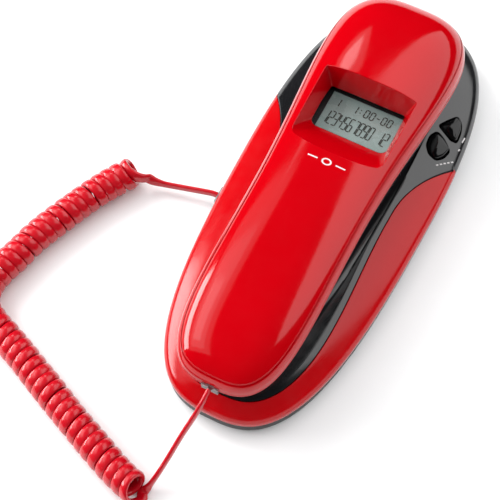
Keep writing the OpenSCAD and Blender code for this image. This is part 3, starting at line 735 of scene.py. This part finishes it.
def make_handset_top():
    """The upper shell: rings in from the seam over the domed top, with a bead at the edge."""
    points, inward = ring_of(HANDSET, 520)
    rings = []
    floor = rim_z(points[:, 1])
    for d, dz in ((2.6, 0.4), (2.4, -0.1), (0.5, -0.1), (0.2, 0.0), (0.03, 0.18), (0.0, 0.45),
                  (0.06, 0.75), (0.25, 1.0)):
        rings.append(at_depth(points, inward, d, floor + dz))
    steps = 64
    start = points + 0.25 * inward
    for j in range(1, steps + 1):
        f = min((j / steps) ** 1.55, 0.9985)
        xy = start * (1 - f)
        xy[:, 1] = start[:, 1] * (1 - f) + HANDSET_Y * f
        z = dome_z(xy[:, 0], xy[:, 1])
        z = np.maximum(z, rim_z(xy[:, 1]) + 1.0)
        rings.append(np.column_stack([xy, z]))
    shell = loft("handset_upper_skin", rings, RED)
    low = [pocket_ring(level) for level in (-0.25, 0.0, 0.25, 0.5, 0.75, 1.05)]
    pocket = loft("pocket", low, RED, degrees=25)
    jack = box("jack_way", (0, -97.0, 33.2), (12.2, 12.0, 7.2))
    groove = rim_groove()
    return carve(shell, [pocket, jack, groove], degrees=28)


def pocket_ring(level):
    """The display pocket's outline, which widens upwards and slants most at its low end."""
    w = GLASS_HALF_W + 7.6 * level
    low = GLASS_Y - GLASS_HALF_L - 28 * level
    high = GLASS_Y + GLASS_HALF_L + 3 * level
    r_low, r_high = 3.0, 0.9
    ring = []
    for cx, cy, r, start in ((w, high, r_high, 0), (-w, high, r_high, 90),
                             (-w, low, r_low, 180), (w, low, r_low, 270)):
        for k in range(9):
            t = math.radians(start + 90 * k / 8)
            ring.append((cx - math.copysign(r, cx) + r * math.cos(t),
                         cy + (r if cy == low else -r) + r * math.sin(t),
                         GLASS_Z + 22 * level))
    return ring


def rim_groove():
    """A thin band that cuts the fine groove inside the bead round the handset's edge."""
    n = 360
    points, inward = ring_of(HANDSET, n)
    rings = []
    for d, up in ((1.9, 0.9), (2.5, 0.9), (2.5, -0.38), (1.9, -0.38)):
        q = points + d * inward
        rings.append(np.column_stack([q, dome_z(q[:, 0], q[:, 1]) + up]))
    pts = [tuple(ring[i]) for i in range(n) for ring in rings]
    last = (n - 1) * 4
    faces = strip_faces(4, n) + [(last + j, last + (j + 1) % 4, (j + 1) % 4, j) for j in range(4)]
    return build("groove", pts, faces, RED)


handset_top = make_handset_top()


# ------------------------------------------------------------------ handset lower shell
KEY_W, KEY_L, KEY_R = 11.4, 7.2, 2.8
KEY_X, KEY_Y = (15, 0, -15), (-17.9, -29.6, -41.3, -53)
KEY_WORDS = ("1", "2", "3", "4", "5", "6", "7", "8", "9", "star", "0", "hash")
SIGNS = {"star": "*", "hash": "#"}
KEYS = [("key_" + word, KEY_X[i % 3], KEY_Y[i // 3], SIGNS.get(word, word))
        for i, word in enumerate(KEY_WORDS)]
HANDSET_SCREWS = [(-15, 1), (15, 1), (-14, -67), (14, -67)]
EAR_R, MOUTH_R = 22, 9.5


def make_handset_low():
    """The lower shell with its key openings, and the ear and mouth cups that hang from it."""
    points, inward = ring_of(HANDSET, 420)
    s = (points[:, 1] - HANDSET_Y) / (HANDSET_L / 2)
    rim = rim_z(points[:, 1])
    under = 2.4 + 6.6 * np.abs(s) ** 6
    rings = [at_depth(points, inward, under + 2.4, 25.0), at_depth(points, inward, under + 1.0, 25.02),
             at_depth(points, inward, under + 0.35, 25.25), at_depth(points, inward, under, 25.8)]
    for f in (0.25, 0.5, 0.75):
        d = under + (1.5 - under) * f
        rings.append(at_depth(points, inward, d, 25.8 + (rim - 2.6 - 25.8) * f))
    rings += [at_depth(points, inward, 1.5, rim - 2.6), at_depth(points, inward, 0.75, rim - 0.5),
              at_depth(points, inward, 0.6, rim - 0.2), at_depth(points, inward, 2.3, rim - 0.2),
              at_depth(points, inward, 3.2, rim - 2.8), at_depth(points, inward, under + 2.6, 28.0),
              at_depth(points, inward, under + 3.2, 27.2)]
    shell = loft("handset_lower_skin", rings, BLACK)
    cutters = [prism("key_way", rounded(KEY_W + 0.5, KEY_L + 0.5, KEY_R + 0.1, centre=(x, y)), 20, 30)
               for _, x, y, _ in KEYS]
    cutters += [box("jack_low", (0, -103.0, 33.2), (12.2, 13.0, 7.2))]
    cutters += [lathe("ear_open", [(EAR_R, 20), (EAR_R, 30)], EAR_AT),
                lathe("mouth_open", [(MOUTH_R, 20), (MOUTH_R, 30)], MOUTH_AT)]
    cutters += [lathe("screw_seat", [(2.6, 22), (2.6, 25.9)], p, n=28)
                for p in HANDSET_SCREWS]
    shell = carve(shell, cutters)
    ear = lathe("ear_cup", [(22, 26.9), (22, 18.2), (21.7, 17.9), (0.4, 17.9), (0.4, 16.9),
                            (20.5, 16.9), (22.6, 17.0), (23.5, 17.5), (23.9, 18.3), (24, 19.2),
                            (24, 25.4), (24, 26.9)], EAR_AT, BLACK, n=110)
    ear_holes = [EAR_AT]
    for k in range(6):
        a = math.radians(60 * k)
        ear_holes.append((7 * math.cos(a), EAR_AT[1] + 7 * math.sin(a)))
    ear = carve(ear, [lathe("grille", [(1.1, 15), (1.1, 19)], p, n=24) for p in ear_holes])
    mouth = lathe("mouth_cup", [(9.5, 26.9), (9.5, 18.6), (9.2, 18.3), (0.4, 18.3), (0.4, 17.0),
                                (8.8, 17.0), (10.2, 17.2), (10.8, 17.8), (11, 18.6), (11, 25.4),
                                (11, 26.9)], MOUTH_AT, BLACK, n=84)
    mouth = carve(mouth, [lathe("mouth_hole", [(1.0, 15), (1.0, 19)], MOUTH_AT, n=24)])
    return join("handset_lower_skin", [shell, ear, mouth])


handset_low = make_handset_low()


def put_text(name, body, size, material, thick=0.12, bold=0.0):
    """A word as a mesh lying flat and centred at the origin, in millimetres."""
    curve = bpy.data.curves.new(name, "FONT")
    curve.body, curve.size = body, size * MM
    curve.extrude, curve.offset = thick / 2 * MM, bold * MM
    curve.align_x, curve.align_y = "CENTER", "CENTER"
    obj = link(bpy.data.objects.new(name, curve))
    bpy.context.view_layer.update()
    data = bpy.data.meshes.new_from_object(
        obj.evaluated_get(bpy.context.evaluated_depsgraph_get()))
    bpy.data.objects.remove(obj)
    mesh = bmesh.new()
    mesh.from_mesh(data)
    bmesh.ops.remove_doubles(mesh, verts=mesh.verts, dist=2e-6)
    bmesh.ops.delete(mesh, geom=[v for v in mesh.verts if not v.link_faces], context="VERTS")
    bmesh.ops.recalc_face_normals(mesh, faces=mesh.faces)
    mesh.to_mesh(data)
    mesh.free()
    data.materials.clear()
    data.materials.append(material)
    return link(bpy.data.objects.new(name, data))


def moved(obj, matrix):
    obj.data.transform(matrix)
    obj.data.update()
    return obj


def make_key(name, x, y, digit):
    """A key cap with a wider foot inside the shell, and its digit on the lower face."""
    rings = []
    for d, z in ((0.9, 23.62), (0.45, 23.68), (0.15, 23.9), (0.0, 24.25), (0.0, 27.3)):
        outline = rounded(KEY_W - 2 * d, KEY_L - 2 * d, KEY_R - d, 8, (x, y))
        rings.append([(px, py, z) for px, py in outline])
    for z in (27.3, 28.3):
        rings.append([(px, py, z) for px, py in rounded(KEY_W, 9.6, 2.0, 8, (x, y))])
    cap = loft(name + "_cap", rings, SILVER)
    label = put_text(name + "_label", digit, 4.6, KEY_INK, 0.16, 0.12)
    place = Vector((x, y, 23.58)) * MM
    moved(label, Matrix.Translation(place) @ Matrix.Rotation(math.pi, 4, "Y"))
    return join(name + "_cap", [cap, label])


key_caps = {key: make_key(key, x, y, digit) for key, x, y, digit in KEYS}

# ------------------------------------------------------------------ display
lens = loft("display_window", [[(x, y + GLASS_Y, z)
                                 for x, y in rounded(34.8 - 2 * d, 20.8 - 2 * d, 0.8)]
                                for d, z in ((0, 35.2), (0, 36.35), (0.12, 36.5))], LENS)
panel = box("display_glass_panel", (0, GLASS_Y, 33.7), (34.6, 21.6, 2.2), LCD)
SEGMENTS = {"0": "abcdef", "1": "bc", "2": "abged", "3": "abgcd", "4": "fgbc", "5": "afgcd",
            "6": "afgedc", "7": "abc", "8": "abcdefg", "9": "abcdfg", "-": "g", " ": "", ":": ":"}


def bar(a, b, w, z):
    """One segment of a digit, a bar with pointed ends."""
    a, b = np.array(a), np.array(b)
    t = unit(b - a)
    s = np.array([-t[1], t[0]]) * w / 2
    cut = t * w / 2
    outline = [a, a + cut - s, b - cut - s, b, b - cut + s, a + cut + s]
    return [(p[0], p[1], z) for p in outline]


def digits(word, x, y, w, h, step, z):
    """A word in seven-segment digits, as flat outlines."""
    faces = []
    t = w * 0.27
    slant = 0.08
    for ch in word:
        corners = {"tl": (0, h), "tr": (w, h), "ml": (0, h / 2), "mr": (w, h / 2),
                   "bl": (0, 0), "br": (w, 0)}
        at = {k: (x + p[0] + slant * p[1], y + p[1]) for k, p in corners.items()}
        sides = {"a": ("tl", "tr"), "b": ("tr", "mr"), "c": ("mr", "br"), "d": ("bl", "br"),
                 "e": ("ml", "bl"), "f": ("tl", "ml"), "g": ("ml", "mr")}
        for part in SEGMENTS[ch]:
            if part == ":":
                for dy in (0.3, 0.7):
                    faces.append([(x + w / 2 + px, y + h * dy + py, z)
                                  for px, py in ((-t / 2, -t / 2), (t / 2, -t / 2), (t / 2, t / 2),
                                                 (-t / 2, t / 2))])
            else:
                p, q = (np.array(at[k]) for k in sides[part])
                gap = unit(q - p) * t * 0.1
                faces.append(bar(p + gap, q - gap, t, z))
        x += step
    return faces


def polygons(name, shapes, material):
    pts, faces = [], []
    for shape in shapes:
        faces.append(tuple(range(len(pts), len(pts) + len(shape))))
        pts += shape
    return build(name, pts, faces, material)


LCD_ROWS = [("1  1:00-00", -13.0, 34.2, 1.7, 3.9, 2.7),
            ("1234567890 12", -14.9, 24.6, 1.75, 6.6, 2.3)]


def lcd_rows(name, shift, z, material):
    shapes = []
    for word, x, y, w, h, step in LCD_ROWS:
        shapes += digits(word, x + shift, y - shift, w, h, step, z)
    return polygons(name, shapes, material)


segments = lcd_rows("display_segments", 0.0, 34.84, LCD_INK)
# the digits again, shifted by 0.2 mm and just below the segments in a darker green: a painted shadow of
# the segments on the panel
segment_painted_shadow = lcd_rows("display_segment_painted_shadow", 0.2, 34.82, LCD_PAINTED_SHADOW)
window = [box("bezel_side", (x, GLASS_Y, 35.0), (w, 26, 0.7), BLACK_MATT)
          for x, w in ((-17.7, 3.6), (18.3, 2.4))]
window += [box("bezel_end", (0, GLASS_Y + y, 35.0), (38, w, 0.7), BLACK_MATT)
           for y, w in ((-11.9, 2.2), (11.3, 3.4))]
bezel = join("display_bezel", window)

# generic mark below the display: dash, ring, dash
MARK_Y, DASH_X, DASH_HALF_L, DASH_HALF_W = -1.95, 6.3, 2.2, 0.30
RING_OUT, RING_IN, RING_STRETCH, RING_SIDES = 1.6, 1.05, 1.4, 24
mark = [polygons("mark_dash", [[(side * DASH_X + i * DASH_HALF_L, MARK_Y + j * DASH_HALF_W, 0)
                                for i, j in ((-1, -1), (1, -1), (1, 1), (-1, 1))]], WHITE_INK)
        for side in (-1, 1)]
ring_shapes = []
for k in range(RING_SIDES):
    a, b = 2 * math.pi * k / RING_SIDES, 2 * math.pi * (k + 1) / RING_SIDES
    ring_shapes.append([(r * RING_STRETCH * math.cos(t), MARK_Y + r * math.sin(t), 0)
                        for r, t in ((RING_OUT, a), (RING_OUT, b), (RING_IN, b), (RING_IN, a))])
mark.append(polygons("mark_ring", ring_shapes, WHITE_INK))
mark = join("handset_mark", mark)
# the flat mark is laid on the dome
for v in mark.data.vertices:
    v.co.z = float(dome_z(v.co.x / MM, v.co.y / MM) + 0.05) * MM

# ------------------------------------------------------------------ plugs


def make_plug(name, centre, along_x):
    body = box("plug_body", (0, 0, 0), (11, 7.4, 4.2), PLUG)
    latch = box("plug_latch", (-1.0, 0, 2.5), (8.0, 3.0, 0.7), PLUG)
    parts = [body, latch]
    parts += [box("contact", (4.4, -2.4 + 1.6 * i, 1.0), (2.2, 0.45, 2.3), GOLD) for i in range(4)]
    obj = join(name, parts)
    turn = Matrix.Rotation(0 if along_x else math.pi / 2, 4, "Z")
    return moved(obj, Matrix.Translation(Vector(centre) * MM) @ turn)


base_plug = make_plug("base_plug_body", (-39.0, -14, 6.1), True)
handset_plug = make_plug("handset_plug_body", (0, -100.4, 33.3), False)

# ------------------------------------------------------------------ finishes of the CAD parts kept
kept_parts = {
    "rubber_feet": RUBBER, "base_screws": STEEL, "base_circuit_board": BOARD,
    "hook_switch": BLACK_MATT, "hook_spring": STEEL, "ringer": BRASS, "line_jack": BLACK_MATT,
    "base_cord_jack": BLACK_MATT, "handset_hanger_tab": BLACK, "button_contact_pad": RUBBER,
    "hook_plunger": BLACK_MATT, "display_frame": BLACK_MATT, "display_board": BOARD,
    "display_ribbon": RIBBON, "keypad_board": BOARD, "keypad_membrane": RUBBER,
    "ear_speaker": PAPER, "speaker_gasket": RUBBER, "microphone": STEEL,
    "microphone_boot": RUBBER, "balance_weight": STEEL, "handset_cord_jack": BLACK_MATT,
    "handset_screws": STEEL,
}
for node, material in kept_parts.items():
    nodes[node].data.materials.clear()
    nodes[node].data.materials.append(material)

# ------------------------------------------------------------------ what rides where
RIDES = [
    (lower_shell, "base", "black_shell", ["base_lower_shell"]),
    (deck, "base", "black_shell", ["base_deck"]),
    (wing, "base", "red_shell", ["base_wing"]),
    (deck_marks, "base", "black_shell", []),
    (upper_button, "upper_button", "black_shell", ["upper_side_button"]),
    (lower_button, "lower_button", "black_shell", ["lower_side_button"]),
    (handset_top, "handset", "red_shell", ["handset_upper_shell"]),
    (handset_low, "handset", "black_shell", ["handset_lower_shell"]),
    (lens, "handset", "glass", ["display_lens"]),
    (panel, "handset", "panel", ["display_panel"]),
    (segments, "handset", "panel", []),
    (segment_painted_shadow, "handset", "panel", []),
    (bezel, "handset", "inner_plastic", []),
    (mark, "handset", "red_shell", []),
    (base_plug, "base", "plug_clear", ["base_cord_plug"]),
    (handset_plug, "handset", "plug_clear", ["handset_cord_plug"]),
] + [(key_caps[key], key + "_body", "key_silver", [key]) for key, _, _, _ in KEYS]
for obj, body, slot, replaced in RIDES:
    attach(obj, body)
    if replaced:
        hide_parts(*replaced)

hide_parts("cord_base_lead", "cord_coil", "cord_handset_lead")
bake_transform(cord)

# ------------------------------------------------------------------ table and lights
REACH = 3000
table = build("table", [(-REACH, -REACH, 0), (REACH, -REACH, 0), (REACH, REACH, 0),
                        (-REACH, REACH, 0)],
              [(0, 1, 2, 3)], moulded("white_table", (0.86, 0.86, 0.865), (0.875, 0.875, 0.88), 0.7))


def softbox(name, towards, distance, size, watts, glossy=True):
    """A rectangular light at a distance from the phone's middle, facing it."""
    light = bpy.data.lights.new(name, "AREA")
    light.shape, light.size, light.size_y = "RECTANGLE", size[0], size[1]
    light.energy = watts
    obj = link(bpy.data.objects.new(name, light))
    direction = Vector(towards).normalized()
    obj.location = CAM_TARGET + direction * distance
    obj.rotation_mode = "QUATERNION"
    obj.rotation_quaternion = direction.to_track_quat("Z", "Y")
    obj.visible_glossy = glossy


softbox("box_left", (-0.86, -0.12, 0.30), 1.1, (0.95, 0.36), 12.0)
softbox("left_high_wide", (-0.62, -0.08, 0.78), 1.2, (1.30, 0.86), 2.6)
softbox("left_high_mid", (-0.62, -0.06, 0.78), 1.19, (1.00, 0.58), 1.5)
softbox("left_high_core", (-0.62, -0.02, 0.77), 1.18, (0.66, 0.32), 0.9)
softbox("spot_wide", (-0.40, 0.57, 0.72), 1.2, (0.34, 0.34), 0.35)
softbox("spot_core", (-0.40, 0.57, 0.72), 1.19, (0.18, 0.18), 0.35)
softbox("box_right", (0.415, 0.615, 0.67), 1.2, (1.25, 1.12), 7.2)
softbox("overhead", (0.0, 0.05, 1.0), 1.8, (2.0, 2.0), 4.0, glossy=False)
softbox("key", (-0.80, 0.20, 0.75), 1.5, (0.45, 0.45), 8.0, glossy=False)
ROOM_LIGHT = 0.75
world = bpy.data.worlds.new("room")
world.use_nodes = True
world.node_tree.nodes["Background"].inputs["Color"].default_value = (1, 1, 1, 1)
world.node_tree.nodes["Background"].inputs["Strength"].default_value = ROOM_LIGHT
world.cycles_visibility.glossy = False
bpy.context.scene.world = world
bpy.context.scene.view_settings.view_transform = "Standard"
bpy.context.scene.view_settings.look = "None"
